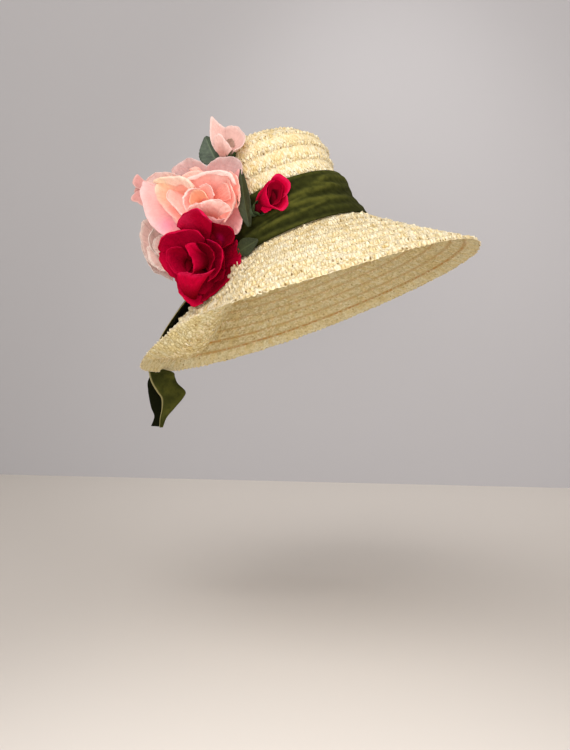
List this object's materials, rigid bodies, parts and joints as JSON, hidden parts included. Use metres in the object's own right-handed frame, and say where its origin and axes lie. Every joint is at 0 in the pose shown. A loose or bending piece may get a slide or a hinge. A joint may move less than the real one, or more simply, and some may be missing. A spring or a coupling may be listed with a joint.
{
  "type": "wide-brim straw hat",
  "caption": "Straw hat with a deep domed crown and a wide drooping brim, a folded velvet band with a hanging tail, and cloth roses at one side.",
  "frame": {"origin": "centre of the head opening, where the crown meets the brim", "axes": "+Z plumb up as the hat is worn, -Y to the front of the hat, +X to the wearer's left; the flowers are on the wearer's right"},
  "size_m": [0.3725, 0.3917, 0.341],
  "materials": {
    "straw": "sewn straw braid, pale cream",
    "velvet": "olive green velvet",
    "pink_silk": "pale pink cloth petals",
    "red_silk": "dark red cloth petals",
    "faded_silk": "faded cream-pink cloth petals",
    "leaf_cloth": "dull green waxed cloth"
  },
  "bodies": {
    "root": {"crown": "straw", "brim": "straw", "ribbon_band": "velvet", "ribbon_tail": "velvet", "pink_rose": "pink_silk", "red_rose": "red_silk", "faded_rose": "faded_silk", "side_bud": "pink_silk", "pale_rosebud": "pink_silk", "pale_calyx": "leaf_cloth", "red_rosebud": "red_silk", "red_calyx": "leaf_cloth", "leaf_top": "leaf_cloth", "leaf_long": "leaf_cloth", "leaf_small": "leaf_cloth", "leaf_back": "leaf_cloth"}
  },
  "joints": []
}
